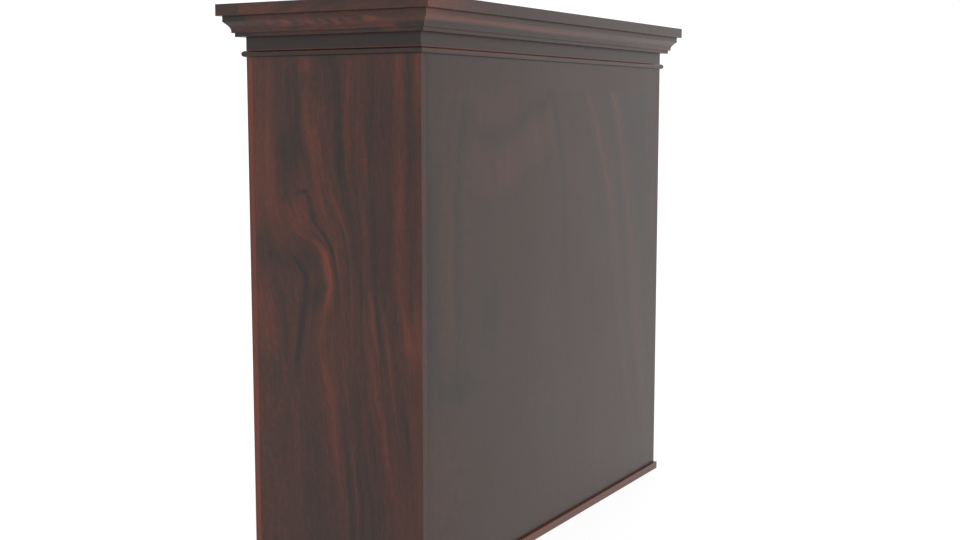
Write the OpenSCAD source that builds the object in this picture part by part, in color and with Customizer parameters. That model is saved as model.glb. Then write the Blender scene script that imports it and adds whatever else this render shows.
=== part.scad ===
// Wide flat-topped wooden pulpit.
// Plain veneered front and sides, a mitred cornice and astragal on all four
// faces, and a speaker's side with an open book bay over a two-door cupboard.
//
// Frame: X is the width, -Y faces the hall, +Y faces the speaker, +Z is up.
// The origin is on the floor, at the middle of the footprint. Millimetres.
// "Front" is the hall side, "rear" the speaker's side, and left is -X.

/* [Overall] */
// Width of the body, between the outer faces of the two sides
body_w = 1200; // [1100:10:1400]
// Depth of the body, from the hall face to the speaker's face
body_d = 435; // [420:5:560]
// Height of the front and side panels, from the base board to the frieze
panel_h = 1098; // [1000:1:1150]

/* [Boards] */
// Thickness of the sides, front, divider, shelves and doors
board_t = 19; // [18:0.5:21]
// Thickness of the speaker's side face frame
frame_t = 15; // [14:0.5:17]
// Thickness of the base board
base_t = 19; // [18:0.5:25]
// How far the base board stands out past the body, on every side
base_out = 7; // [5:0.5:10]
// Height of the glides under the base board
glide_h = 1.5; // [1:0.5:6]

/* [Cornice] */
// Thickness of the top slab
slab_t = 24.5; // [22:0.5:30]
// How far the top slab stands out past the body, on every side
slab_out = 44.5; // [40:0.5:50]
// Height of the frieze boards between the panels and the slab
frieze_h = 76.5; // [70:0.5:90]
// Height of the cornice moulding
cornice_h = 42.5; // [42.5:0.5:50]
// Height of the astragal bead
bead_h = 13; // [10:0.5:14]
// How far the astragal bead stands out
bead_out = 7.7; // [7.2:0.1:9]

/* [Speaker's side] */
// Clear height of the open book bay
bay_h = 185; // [150:5:220]
// Width of the face frame stiles
stile_w = 55; // [50:1:70]
// Height of the face frame's top rail
top_rail_h = 38; // [34:1:50]
// Height of the face frame's bottom rail
bottom_rail_h = 40; // [36:1:60]
// Height of the rail in front of the fixed shelf
mid_rail_h = 42; // [36:1:60]
// Width of the door stiles and height of the door top rails
door_stile_w = 60; // [55:1:75]
// Height of the door bottom rails
door_bottom_h = 70; // [60:1:90]
// Height of the adjustable shelves above the base board
loose_shelf_z = 447; // [415:32:479]

/* [Hidden] */

mahogany = [0.36, 0.19, 0.14];
mahogany_dark = [0.25, 0.15, 0.12];
mahogany_red = [0.45, 0.22, 0.16];
inner_wood = [0.42, 0.25, 0.18];
brass = [0.72, 0.55, 0.28];
steel = [0.62, 0.62, 0.64];
plastic = [0.12, 0.12, 0.12];

facets = 64;
clear = 0.05;                         // play around fitted parts
joint_clear = 0.1;                    // play around tenons
over = 1;                             // how far cutters run past a face

// Levels
z_body = glide_h + base_t;            // top of the base board
z_joint = z_body + panel_h;           // panels meet the frieze
z_slab = z_joint + frieze_h;          // underside of the slab
z_bay_top = z_joint - top_rail_h;     // underside of the top rail
z_shelf = z_bay_top - bay_h;          // top of the fixed shelf
z_mid = z_shelf - mid_rail_h;         // underside of the mid rail
z_low = z_body + bottom_rail_h;       // top of the bottom rail
z_loose = z_body + loose_shelf_z;     // underside of the adjustable shelves

// Plan
half_w = body_w / 2;
half_d = body_d / 2;
front_y = -half_d + board_t;          // inner face of the front panel
frame_y = half_d - frame_t;           // inner face of the face frame
side_x = half_w - board_t;            // inner face of a side
opening_x = half_w - stile_w;         // edge of the face frame opening
door_y = half_d - board_t;            // inner face of the doors

// Each part of the left half is repeated, mirrored, on the right.
module both_sides() {
  children();
  mirror([1, 0, 0]) children();
}

// Countersunk slotted wood screws: [length, shank radius, head radius]
base_screw = [50, 2.5, 5];
slab_screw = [38, 2.25, 4.5];
hinge_screw = [16, 1.6, 3.3];
catch_screw = [11, 1.6, 3.2];
strike_screw = [12, 1.5, 2.8];
head_in = 0.3;                        // base and slab screw heads, below the surface

// Head face at z = 0, point towards +Z.
module screw(size) {
  length = size[0];
  shank_r = size[1];
  head_r = size[2];
  head_h = head_r - shank_r;
  point_l = 2 * shank_r;
  difference() {
    union() {
      cylinder(h = head_h, r1 = head_r, r2 = shank_r, $fn = facets);
      cylinder(h = length - point_l, r = shank_r, $fn = facets);
      translate([0, 0, length - point_l])
        cylinder(h = point_l, r1 = shank_r, r2 = 0.3, $fn = facets);
    }
    translate([-head_r - over, -head_r * 0.11, -over])
      cube([2 * (head_r + over), head_r * 0.22, over + head_h * 0.55]);
  }
}

// The hole that screw sits in, a little larger all round.
module screw_hole(size) {
  shank_r = size[1] + clear;
  head_r = size[2] + clear;
  translate([0, 0, -over]) cylinder(h = over + 0.001, r = head_r, $fn = facets);
  cylinder(h = head_r - shank_r, r1 = head_r, r2 = shank_r, $fn = facets);
  cylinder(h = size[0] + over, r = shank_r, $fn = facets);
}

// Fastener places, as [x, y], in the middle of each board's edge. The front
// and rear ones are given as fractions of half the width.
function side_spots(ys) = [for (s = [-1, 1], y = ys) [s * (half_w - board_t / 2), y]];
function front_spots(fractions) = [for (f = fractions) [f * half_w, -half_d + board_t / 2]];
function rear_spots(fractions) = [for (f = fractions) [f * half_w, half_d - frame_t / 2]];

dowel_spots = concat(
  side_spots([-half_d * 0.62, 0, frame_y * 0.6]),
  front_spots([-0.75, -0.25, 0.25, 0.75]),
  rear_spots([-0.6, -0.2, 0.2, 0.6]));
base_screw_spots = concat(
  side_spots([-half_d * 0.7, 0, frame_y * 0.7]),
  front_spots([-0.72, -0.24, 0.24, 0.72]),
  [[0, -half_d * 0.5], [0, half_d * 0.5]],     // divider
  rear_spots([-0.5, 0.5]));

// Dowels between the panels and the frieze, with stepped ends
dowel_r = 4;
dowel_l = 35;
dowel_in = 20;                        // depth in the panels
dowel_end_l = 1.5;
dowel_end_step = 0.8;

module at_dowels() {
  for (spot = dowel_spots) translate([spot[0], spot[1], z_joint - dowel_in]) children();
}
module dowel_holes() {
  at_dowels() translate([0, 0, -over])
    cylinder(h = dowel_l + 2 * over, r = dowel_r + clear, $fn = facets);
}
module dowels() {
  color(inner_wood) at_dowels() {
    cylinder(h = dowel_l, r = dowel_r - dowel_end_step, $fn = facets);
    translate([0, 0, dowel_end_l])
      cylinder(h = dowel_l - 2 * dowel_end_l, r = dowel_r, $fn = facets);
  }
}

// Screws up through the base board
module at_base_screws() {
  for (spot = base_screw_spots) translate([spot[0], spot[1], glide_h + head_in]) children();
}
module base_screw_holes() { at_base_screws() screw_hole(base_screw); }
module base_screws() { color(steel) at_base_screws() screw(base_screw); }

// Glides: bevelled discs with a stem up into the base board
glide_r = 12;
glide_bevel = 0.8;
glide_stem_r = 1.2;
glide_stem_l = 12;
glide_xs = [-half_w + 40, 0, half_w - 40];
glide_ys = [-half_d + 35, half_d - 35];

module at_glides() {
  for (x = glide_xs, y = glide_ys) translate([x, y, 0]) children();
}
module glides() {
  color(plastic) at_glides() {
    rotate_extrude($fn = facets) polygon([[0, 0], [glide_r - glide_bevel, 0],
      [glide_r, glide_bevel], [glide_r, glide_h], [0, glide_h]]);
    translate([0, 0, glide_h]) cylinder(h = glide_stem_l, r = glide_stem_r, $fn = facets);
  }
}

module base_board() {
  color(mahogany_red) difference() {
    translate([-half_w - base_out, -half_d - base_out, glide_h])
      cube([body_w + 2 * base_out, body_d + 2 * base_out, base_t]);
    base_screw_holes();
    at_glides() translate([0, 0, glide_h - over])
      cylinder(h = glide_stem_l + 2 * over, r = glide_stem_r + clear, $fn = facets);
  }
}

// Shelf pins: a stem in the hole, and a collar against the board that is cut
// level with the stem, so the shelf rests on both. The pins use the middle of
// five rows of holes. "facing" is 1 on a face that looks towards +X, else -1.
pin_r = 2.5;
pin_in = 8;                           // length of stem in the board
pin_out = 9;                          // length of stem under the shelf
pin_hole_d = 8.5;
pin_collar_r = 4;
pin_collar_t = 1;
pin_pitch = 32;
pin_ys = [-half_d + 60, half_d - 75];

module at_pins(x, facing, rows = [0]) {
  for (y = pin_ys, row = rows) translate([x, y, z_loose - pin_r + row * pin_pitch])
    rotate([0, facing * 90, 0]) children();
}
module pin_holes(x, facing) {
  at_pins(x, facing, [-2:2]) translate([0, 0, -pin_hole_d])
    cylinder(h = pin_hole_d + over, r = pin_r + clear, $fn = facets);
}
module pins(x, facing) {
  reach = 10;                         // past the collar's edge
  at_pins(x, facing) {
    translate([0, 0, -pin_in]) cylinder(h = pin_in + pin_out, r = pin_r, $fn = facets);
    intersection() {
      cylinder(h = pin_collar_t, r = pin_collar_r, $fn = facets);
      translate([facing > 0 ? -pin_r : -reach, -reach, 0])
        cube([reach + pin_r, 2 * reach, 2 * pin_collar_t]);
    }
  }
}
module shelf_pins() {
  color(brass) both_sides() {
    pins(-side_x, 1);
    pins(-board_t / 2, -1);
  }
}

// Carcase
housing_d = 6;                        // fixed shelf's housing in the sides
divider_setback = 1.5;                // behind the doors
loose_gap = 1;                        // round the sides and front of a loose shelf
loose_setback = 9;                    // loose shelves, behind the doors

// The left side panel. The right one is its mirror image.
module side_panel() {
  difference() {
    translate([-half_w, -half_d, z_body]) cube([board_t, body_d - frame_t, panel_h]);
    translate([-side_x - housing_d, front_y, z_shelf - board_t])
      cube([housing_d + over, body_d, board_t]);
    dowel_holes();
    base_screw_holes();
    pin_holes(-side_x, 1);
  }
}
module left_side() { color(mahogany) side_panel(); }
module right_side() { color(mahogany) mirror([1, 0, 0]) side_panel(); }

module front_panel() {
  color(mahogany) difference() {
    translate([-side_x, -half_d, z_body]) cube([2 * side_x, board_t, panel_h]);
    dowel_holes();
    base_screw_holes();
  }
}

// The divider is set back behind the doors, and reaches the face frame above
// and below them.
module centre_divider() {
  color(inner_wood) difference() {
    translate([-board_t / 2, front_y, z_body])
      cube([board_t, frame_y - front_y, z_shelf - board_t - z_body]);
    translate([-board_t, door_y - divider_setback, z_low])
      cube([2 * board_t, board_t, z_mid - z_low]);
    at_catch_screws() screw_hole(catch_screw);
    base_screw_holes();
    both_sides() pin_holes(-board_t / 2, -1);
  }
}

module fixed_shelf() {
  color(inner_wood) translate([-side_x - housing_d, front_y, z_shelf - board_t])
    cube([2 * (side_x + housing_d), frame_y - front_y, board_t]);
}

module loose_shelf() {
  translate([-side_x + loose_gap, front_y + loose_gap, z_loose])
    cube([side_x - board_t / 2 - 2 * loose_gap,
      door_y - loose_setback - front_y - loose_gap, board_t]);
}
module left_adjustable_shelf() { color(inner_wood) loose_shelf(); }
module right_adjustable_shelf() { color(inner_wood) mirror([1, 0, 0]) loose_shelf(); }

// Triangular blocks along the base board, behind the front and the sides
block_l = 60;
block_leg = 25;
module glue_block() {
  linear_extrude(block_l) polygon([[0, 0], [block_leg, 0], [0, block_leg]]);
}
module glue_blocks() {
  color(inner_wood) {
    for (f = [-0.85, -0.45, 0.45, 0.85])
      translate([f * side_x - block_l / 2, front_y, z_body]) rotate([90, 0, 90]) glue_block();
    both_sides() for (f = [-0.35, 0.45])
      translate([-side_x, f * half_d + block_l / 2, z_body]) rotate([90, 0, 0]) glue_block();
  }
}

// Face frame: rails tenoned into the stiles. Rails are [bottom, top].
top_rail = [z_bay_top, z_joint];
mid_rail = [z_mid, z_shelf];
bottom_rail = [z_body, z_low];
frame_tenon_l = 20;
frame_tenon_t = 6;
frame_shoulder = 6;                   // above and below each tenon
frame_tenon_y = half_d - frame_t / 2 - frame_tenon_t / 2;
mortise_end = 0.5;                    // gap past a tenon's end

// The left mortise for a rail
module frame_mortise(rail) {
  translate([-opening_x - frame_tenon_l - mortise_end, frame_tenon_y - clear,
      rail[0] + frame_shoulder - joint_clear])
    cube([frame_tenon_l + mortise_end + over, frame_tenon_t + 2 * clear,
      rail[1] - rail[0] - 2 * frame_shoulder + 2 * joint_clear]);
}
module rear_stile() {
  difference() {
    translate([-half_w, frame_y, z_body]) cube([stile_w, frame_t, panel_h]);
    for (rail = [bottom_rail, mid_rail, top_rail]) frame_mortise(rail);
    hinge_recesses(frame_side);
  }
}
module rear_left_stile() { color(mahogany) rear_stile(); }
module rear_right_stile() { color(mahogany) mirror([1, 0, 0]) rear_stile(); }

module rear_rail(rail) {
  rail_h = rail[1] - rail[0];
  difference() {
    union() {
      translate([-opening_x, frame_y, rail[0]]) cube([2 * opening_x, frame_t, rail_h]);
      translate([-opening_x - frame_tenon_l, frame_tenon_y, rail[0] + frame_shoulder])
        cube([2 * (opening_x + frame_tenon_l), frame_tenon_t, rail_h - 2 * frame_shoulder]);
    }
    dowel_holes();
    base_screw_holes();
  }
}
module rear_top_rail() { color(mahogany) rear_rail(top_rail); }
module rear_mid_rail() { color(mahogany) rear_rail(mid_rail); }
module rear_bottom_rail() { color(mahogany) rear_rail(bottom_rail); }

// The four faces of the body: [turn from the front, length, distance from the origin]
front_face = [0, body_w, half_d];
rear_face = [180, body_w, half_d];
left_face = [-90, body_d, half_w];
right_face = [90, body_d, half_w];

// Frieze: four mitred boards above the panels, flush with the body
module frieze(face) {
  end_x = face[1] / 2;
  out_y = -face[2];
  difference() {
    rotate([0, 0, face[0]]) translate([0, 0, z_joint]) linear_extrude(frieze_h)
      polygon([[-end_x, out_y], [end_x, out_y],
        [end_x - board_t, out_y + board_t], [-end_x + board_t, out_y + board_t]]);
    dowel_holes();
  }
}
module frieze_front() { color(mahogany_dark) frieze(front_face); }
module frieze_rear() { color(mahogany_dark) frieze(rear_face); }
module frieze_left() { color(mahogany_dark) frieze(left_face); }
module frieze_right() { color(mahogany_dark) frieze(right_face); }

// A length of moulding on a face, mitred at both ends. Its foot is at z, and
// its profile points are [out, up].
module moulding(face, profile, z) {
  end_x = face[1] / 2;
  out_y = -face[2];
  reach = 60;                         // past the widest moulding
  margin = 5;                         // of the mitre cutter, inside and below
  rotate([0, 0, face[0]]) intersection() {
    translate([-end_x - reach, out_y, z]) rotate([90, 0, 90])
      linear_extrude(2 * (end_x + reach)) polygon([for (p = profile) [-p[0], p[1]]]);
    translate([0, 0, z - margin]) linear_extrude(frieze_h)
      polygon([[-end_x + margin, out_y + margin], [end_x - margin, out_y + margin],
        [end_x + reach, out_y - reach], [-end_x - reach, out_y - reach]]);
  }
}

// Astragal: a half-round bead across the joint between panels and frieze
bead_r = bead_h / 2;
bead_centre = bead_out - bead_r;
bead_drop = 1;                        // bead's middle, below the joint
bead_profile = concat([[0, 0], [bead_centre, 0]],
  [for (a = [-84:6:84]) [bead_centre + bead_r * cos(a), bead_r + bead_r * sin(a)]],
  [[bead_centre, bead_h], [0, bead_h]]);
module bead(face) { moulding(face, bead_profile, z_joint - bead_r - bead_drop); }
module bead_front() { color(mahogany_red) bead(front_face); }
module bead_rear() { color(mahogany_red) bead(rear_face); }
module bead_left() { color(mahogany_red) bead(left_face); }
module bead_right() { color(mahogany_red) bead(right_face); }

// Cornice: a low fillet, a step, a cove and an upper fillet under the slab.
// The cove is upright at its foot and runs into a 45 degree splay at its top.
upper_out = slab_out - 10;            // upper fillet
cove_out = upper_out - 13;            // foot of the cove
low_out = cove_out - 5;               // low fillet
low_h = 8;
cove_top = cornice_h - 11.5;
splay = 7.6;                          // size of the 45 degree splay
cove_r = (upper_out - cove_out - splay) / (1 - cos(45));
cornice_profile = concat([[0, 0], [low_out, 0], [low_out, low_h], [cove_out, low_h]],
  [for (a = [0:3:45])
    [cove_out + cove_r * (1 - cos(a)), cove_top - splay - cove_r * (sin(45) - sin(a))]],
  [[upper_out, cove_top], [upper_out, cornice_h], [0, cornice_h]]);
module cornice(face) { moulding(face, cornice_profile, z_slab - cornice_h); }
module cornice_front() { color(mahogany) cornice(front_face); }
module cornice_rear() { color(mahogany) cornice(rear_face); }
module cornice_left() { color(mahogany) cornice(left_face); }
module cornice_right() { color(mahogany) cornice(right_face); }

// Top slab, screwed down from three battens under it
batten_w = 60;
batten_t = 22;
batten_xs = [-1, 0, 1] * half_w * 2 / 3;
slab_screw_ys = [-1, 0, 1] * half_d * 0.68;

module at_slab_screws() {
  for (x = batten_xs, y = slab_screw_ys)
    translate([x, y, z_slab - batten_t + head_in]) children();
}
module top_slab() {
  color(mahogany) difference() {
    translate([-half_w - slab_out, -half_d - slab_out, z_slab])
      cube([body_w + 2 * slab_out, body_d + 2 * slab_out, slab_t]);
    at_slab_screws() screw_hole(slab_screw);
  }
}
module top_battens() {
  color(inner_wood) difference() {
    for (x = batten_xs) translate([x - batten_w / 2, front_y, z_slab - batten_t])
      cube([batten_w, body_d - 2 * board_t, batten_t]);
    at_slab_screws() screw_hole(slab_screw);
  }
}
module slab_screws() { color(steel) at_slab_screws() screw(slab_screw); }

// Doors. Each is modelled as the left one; the right door is its mirror image.
hinge_gap = 2.4;
meet_gap = 3;
end_gap = 2;                          // above and below the doors
groove_d = 8;
groove_t = 6;                         // panel groove and tenon thickness
door_tenon_l = 30;
door_shoulder = 10;                   // at a tenon's outer edge
panel_gap = 1;                        // panel edge to groove bottom

door_x0 = -opening_x + hinge_gap;     // hinge edge
door_x1 = -meet_gap / 2;              // meeting edge
door_z0 = z_low + end_gap;
door_z1 = z_mid - end_gap;
door_mid_y = half_d - board_t / 2;
// Opening inside the door's stiles and rails
inner_x0 = door_x0 + door_stile_w;
inner_x1 = door_x1 - door_stile_w;
inner_z0 = door_z0 + door_bottom_h;
inner_z1 = door_z1 - door_stile_w;
inner_w = inner_x1 - inner_x0;
inner_h = inner_z1 - inner_z0;
// Tenons are [bottom, top].
bottom_tenon = [door_z0 + door_shoulder, inner_z0 - groove_d];
top_tenon = [inner_z1 + groove_d, door_z1 - door_shoulder];

module panel_groove() {
  translate([inner_x0 - groove_d, door_mid_y - groove_t / 2, inner_z0 - groove_d])
    cube([inner_w + 2 * groove_d, groove_t, inner_h + 2 * groove_d]);
}
// A rail's two tenons, as one bar; with play, their mortises, deeper than the tenons.
module door_tenon(tenon, play = 0) {
  tenon_end = door_tenon_l + 5 * play;
  translate([inner_x0 - tenon_end, door_mid_y - groove_t / 2 - play, tenon[0] - play])
    cube([inner_w + 2 * tenon_end, groove_t + 2 * play, tenon[1] - tenon[0] + 2 * play]);
}
// A stile from x towards +X, grooved and mortised
module door_stile(x) {
  difference() {
    translate([x, door_y, door_z0]) cube([door_stile_w, board_t, door_z1 - door_z0]);
    panel_groove();
    for (tenon = [bottom_tenon, top_tenon]) door_tenon(tenon, joint_clear);
  }
}
module door_hinge_stile() {
  difference() {
    door_stile(door_x0);
    hinge_recesses(door_side);
  }
}
module door_lock_stile() {
  difference() {
    door_stile(inner_x1);
    at_knob(door_y - over)
      cylinder(h = board_t + 2 * over, r = knob_screw_r + 0.3, $fn = facets);
    at_strike_screws() screw_hole(strike_screw);
  }
}
module door_rail(z, height, tenon) {
  difference() {
    union() {
      translate([inner_x0, door_y, z]) cube([inner_w, board_t, height]);
      door_tenon(tenon);
    }
    panel_groove();
  }
}
module door_top_rail() { door_rail(inner_z1, door_stile_w, top_tenon); }
module door_bottom_rail() { door_rail(door_z0, door_bottom_h, bottom_tenon); }
module door_panel() {
  edge = groove_d - panel_gap;
  translate([inner_x0 - edge, door_mid_y - groove_t / 2 + joint_clear, inner_z0 - edge])
    cube([inner_w + 2 * edge, groove_t - 2 * joint_clear, inner_h + 2 * edge]);
}
module left_door_hinge_stile() { color(mahogany) door_hinge_stile(); }
module left_door_lock_stile() { color(mahogany) door_lock_stile(); }
module left_door_top_rail() { color(mahogany) door_top_rail(); }
module left_door_bottom_rail() { color(mahogany) door_bottom_rail(); }
module left_door_panel() { color(mahogany) door_panel(); }
module right_door_hinge_stile() { color(mahogany) mirror([1, 0, 0]) door_hinge_stile(); }
module right_door_lock_stile() { color(mahogany) mirror([1, 0, 0]) door_lock_stile(); }
module right_door_top_rail() { color(mahogany) mirror([1, 0, 0]) door_top_rail(); }
module right_door_bottom_rail() { color(mahogany) mirror([1, 0, 0]) door_bottom_rail(); }
module right_door_panel() { color(mahogany) mirror([1, 0, 0]) door_panel(); }

// Butt hinges on the left door, drawn about the pin's axis. The frame leaf
// lies on the -X side of the axis and the door leaf on the +X side.
frame_side = -1;
door_side = 1;
leaf_t = 2;
leaf_gap = 0.15;                      // leaf's face to the axis plane
hinge_l = 76;
knuckle_r = 4;
knuckle_pitch = hinge_l / 5;
knuckle_trim = 0.1;                   // off each end of a knuckle
hinge_pin_r = 2;
axis_out = knuckle_r + 0.25;          // axis, beyond the doors' outer face
leaf_y = -axis_out - (frame_t - 1);   // leaf's inner edge
leaf_end_y = -knuckle_r - 0.35;       // leaf's outer edge, between the knuckles
hinge_screw_y = -axis_out - frame_t / 2;
hinge_screw_zs = [-27, 0, 27];
hinge_head_in = 0.1;                  // screw heads, below the leaf's face
hinge_inset = 100;                    // hinge's middle to the door's end

module at_hinges() {
  for (z = [door_z0 + hinge_inset, door_z1 - hinge_inset])
    translate([-opening_x + hinge_gap / 2, half_d + axis_out, z]) children();
}
module at_leaf_screws(side) {
  for (z = hinge_screw_zs)
    translate([side * (leaf_gap + hinge_head_in), hinge_screw_y, z])
      rotate([0, side * 90, 0]) children();
}
// Leaf recesses and screw holes in the frame stile or the door stile
module hinge_recesses(side) {
  recess_x = leaf_gap + leaf_t + clear;
  at_hinges() {
    translate([side < 0 ? -recess_x : 0, leaf_y - clear, -hinge_l / 2 - clear])
      cube([recess_x, frame_t * 2, hinge_l + 2 * clear]);
    at_leaf_screws(side) screw_hole(hinge_screw);
  }
}
module hinge_leaf(side) {
  leaf_x = side < 0 ? -leaf_gap - leaf_t : leaf_gap;
  knuckle_l = knuckle_pitch - 2 * knuckle_trim;
  tongue_y = leaf_y + 2;              // knuckle's tongue starts inside the leaf
  difference() {
    union() {
      translate([leaf_x, leaf_y, -hinge_l / 2]) cube([leaf_t, leaf_end_y - leaf_y, hinge_l]);
      for (k = side < 0 ? [0, 2, 4] : [1, 3])
        translate([0, 0, -hinge_l / 2 + k * knuckle_pitch + knuckle_trim]) {
          cylinder(h = knuckle_l, r = knuckle_r, $fn = facets);
          translate([leaf_x, tongue_y, 0]) cube([leaf_t, -tongue_y, knuckle_l]);
        }
    }
    translate([0, 0, -hinge_l])
      cylinder(h = 2 * hinge_l, r = hinge_pin_r + clear, $fn = facets);
    at_leaf_screws(side) screw_hole(hinge_screw);
  }
}
module leaves(side) { at_hinges() hinge_leaf(side); }
module left_hinge_frame_leaves() { color(brass) leaves(frame_side); }
module right_hinge_frame_leaves() { color(brass) mirror([1, 0, 0]) leaves(frame_side); }
module left_hinge_door_leaves() { color(brass) leaves(door_side); }
module right_hinge_door_leaves() { color(brass) mirror([1, 0, 0]) leaves(door_side); }

// Finial at each end of a pin: [radius, height]
finial = [[0, 0], [3.6, 0], [3.6, 1.2], [2.4, 2], [1.9, 2.8],
  [2.5, 3.8], [2.2, 5], [1.2, 5.8], [0, 6]];
module hinge_pins() {
  at_hinges() {
    translate([0, 0, -hinge_l / 2]) cylinder(h = hinge_l, r = hinge_pin_r, $fn = facets);
    for (flip = [0, 1]) mirror([0, 0, flip]) translate([0, 0, hinge_l / 2])
      rotate_extrude($fn = facets) polygon(finial);
  }
}
module left_hinge_pins() { color(brass) hinge_pins(); }
module right_hinge_pins() { color(brass) mirror([1, 0, 0]) hinge_pins(); }

module hinge_screws(side) { at_hinges() at_leaf_screws(side) screw(hinge_screw); }
module hinge_frame_screws() { color(brass) both_sides() hinge_screws(frame_side); }
module left_hinge_door_screws() { color(brass) hinge_screws(door_side); }
module right_hinge_door_screws() { color(brass) mirror([1, 0, 0]) hinge_screws(door_side); }

// Knobs: turned, on a short neck, the axis along +Y, screwed from inside.
// Turning points, from the rose to the crown: [radius, distance from the door]
knob_turning = [[9.2, 0], [9.6, 1], [8.6, 2.2], [6.2, 3.4], [5.1, 6], [5.3, 8.8], [7.6, 11.8],
  [11.6, 14.4], [14, 17.6], [14.4, 21], [13.2, 24.2], [10, 26.8], [5.4, 28.5], [0.01, 29]];
knob_l = 29;
knob_drop = 155;                      // below the door's top
knob_bore = 14;
knob_screw_r = 2;
knob_screw_in = 12;                   // length in the knob
knob_head_r = 4;
knob_head_h = 2.4;

// Catmull-Rom curve from points[i] to points[i + 1], at t from 0 to 1
function spline(points, i, t) = let (
  before = points[max(i - 1, 0)],
  start = points[i],
  end = points[i + 1],
  after = points[min(i + 2, len(points) - 1)])
  0.5 * (2 * start + (end - before) * t
    + (2 * before - 5 * start + 4 * end - after) * t * t
    + (3 * start - before - 3 * end + after) * t * t * t);
knob_profile = concat([[0, 0]],
  [for (i = [0:len(knob_turning) - 2], k = [0:3]) spline(knob_turning, i, k / 4)],
  [[0, knob_l]]);

module at_knob(y) {
  translate([door_x1 - door_stile_w / 2, y, door_z1 - knob_drop]) rotate([-90, 0, 0]) children();
}
module knob() {
  at_knob(half_d) difference() {
    rotate_extrude($fn = 96) polygon(knob_profile);
    translate([0, 0, -over])
      cylinder(h = knob_bore + over, r = knob_screw_r + clear, $fn = facets);
  }
}
module knob_screw() {
  overlap = 0.5;                      // shank runs into the head
  at_knob(door_y) difference() {
    union() {
      translate([0, 0, -knob_head_h]) cylinder(h = knob_head_h, r = knob_head_r, $fn = facets);
      translate([0, 0, -overlap])
        cylinder(h = board_t + knob_screw_in + overlap, r = knob_screw_r, $fn = facets);
    }
    // Slot, 1 wide and 1.2 deep
    translate([-knob_head_r - over, -0.5, -3]) cube([2 * (knob_head_r + over), 1, 1.8]);
  }
}
module left_knob() { color(brass) knob(); }
module right_knob() { color(brass) mirror([1, 0, 0]) knob(); }
module left_knob_screw() { color(steel) knob_screw(); }
module right_knob_screw() { color(steel) mirror([1, 0, 0]) knob_screw(); }

// Magnetic catches on the divider: a case with an ear above and below, and
// two upright poles on its door side. Sizes are [x, y, z].
catch_z = door_z1 - 60;
case_size = [14, 25, 42];
ear_size = [3.5, 18, 66];
pole_size = [2.5, 0.3, 32];
case_back = 27;                       // backs of the case and ears, from the door
ear_back = 24;
pole_back = 2;
pole_outs = [5.5, 11];                // poles' far sides, from the divider
ear_screw_dz = 27;
ear_head_in = 0.2;                    // screw heads, below the ear's face

// A block on the divider's left face: its far side is "out" from the divider
// and its back is "back" from the door.
module catch_block(size, out, back) {
  translate([-board_t / 2 - out, door_y - back, catch_z - size[2] / 2]) cube(size);
}
module at_catch_screws() {
  both_sides() for (dz = [-ear_screw_dz, ear_screw_dz])
    translate([-board_t / 2 - ear_size[0] + ear_head_in,
        door_y - ear_back + ear_size[1] / 2, catch_z + dz])
      rotate([0, 90, 0]) children();
}
module magnetic_catches() {
  color(plastic) difference() {
    both_sides() {
      catch_block(case_size, case_size[0], case_back);
      catch_block(ear_size, ear_size[0], ear_back);
      for (out = pole_outs) catch_block(pole_size, out, pole_back);
    }
    at_catch_screws() screw_hole(catch_screw);
  }
}
module catch_screws() { color(steel) at_catch_screws() screw(catch_screw); }

// Strike plates on the doors' inner faces, with their screws
strike_size = [14, 1.5, 38];
strike_x = -board_t / 2 - 8;
strike_screw_dz = 12;
strike_head_in = 0.05;                // screw heads, below the plate's face

module at_strike_screws() {
  for (dz = [-strike_screw_dz, strike_screw_dz])
    translate([strike_x, door_y - strike_size[1] + strike_head_in, catch_z + dz])
      rotate([-90, 0, 0]) children();
}
module strike_plate() {
  difference() {
    translate([strike_x - strike_size[0] / 2, door_y - strike_size[1],
        catch_z - strike_size[2] / 2])
      cube(strike_size);
    at_strike_screws() screw_hole(strike_screw);
  }
  at_strike_screws() screw(strike_screw);
}
module left_strike_plate() { color(steel) strike_plate(); }
module right_strike_plate() { color(steel) mirror([1, 0, 0]) strike_plate(); }

base_board();
left_side();
right_side();
front_panel();
centre_divider();
fixed_shelf();
left_adjustable_shelf();
right_adjustable_shelf();
shelf_pins();
rear_left_stile();
rear_right_stile();
rear_top_rail();
rear_mid_rail();
rear_bottom_rail();
frieze_front();
frieze_rear();
frieze_left();
frieze_right();
bead_front();
bead_rear();
bead_left();
bead_right();
cornice_front();
cornice_rear();
cornice_left();
cornice_right();
top_slab();
top_battens();
slab_screws();
glue_blocks();
glides();
dowels();
base_screws();
left_door_hinge_stile();
left_door_lock_stile();
left_door_top_rail();
left_door_bottom_rail();
left_door_panel();
right_door_hinge_stile();
right_door_lock_stile();
right_door_top_rail();
right_door_bottom_rail();
right_door_panel();
left_hinge_frame_leaves();
right_hinge_frame_leaves();
left_hinge_door_leaves();
right_hinge_door_leaves();
left_hinge_pins();
right_hinge_pins();
hinge_frame_screws();
left_hinge_door_screws();
right_hinge_door_screws();
left_knob();
right_knob();
left_knob_screw();
right_knob_screw();
magnetic_catches();
catch_screws();
left_strike_plate();
right_strike_plate();
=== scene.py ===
"""Mahogany speaker's cabinet: figured sides and front, cornice, slab top, doors at the rear.

X runs along its length and Z is up. The front faces the hall, towards -Y; the doors face
the speaker, towards +Y. The script works in metres, but all material sizes are in mm.
"""
import math
from fnmatch import fnmatch

import bpy
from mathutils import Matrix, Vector

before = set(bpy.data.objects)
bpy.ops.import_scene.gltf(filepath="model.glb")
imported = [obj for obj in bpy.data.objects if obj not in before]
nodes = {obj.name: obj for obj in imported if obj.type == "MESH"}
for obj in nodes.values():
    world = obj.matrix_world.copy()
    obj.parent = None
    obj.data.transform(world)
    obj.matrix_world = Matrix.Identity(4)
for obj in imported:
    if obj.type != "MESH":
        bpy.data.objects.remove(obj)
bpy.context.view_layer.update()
scene = bpy.context.scene

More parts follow.
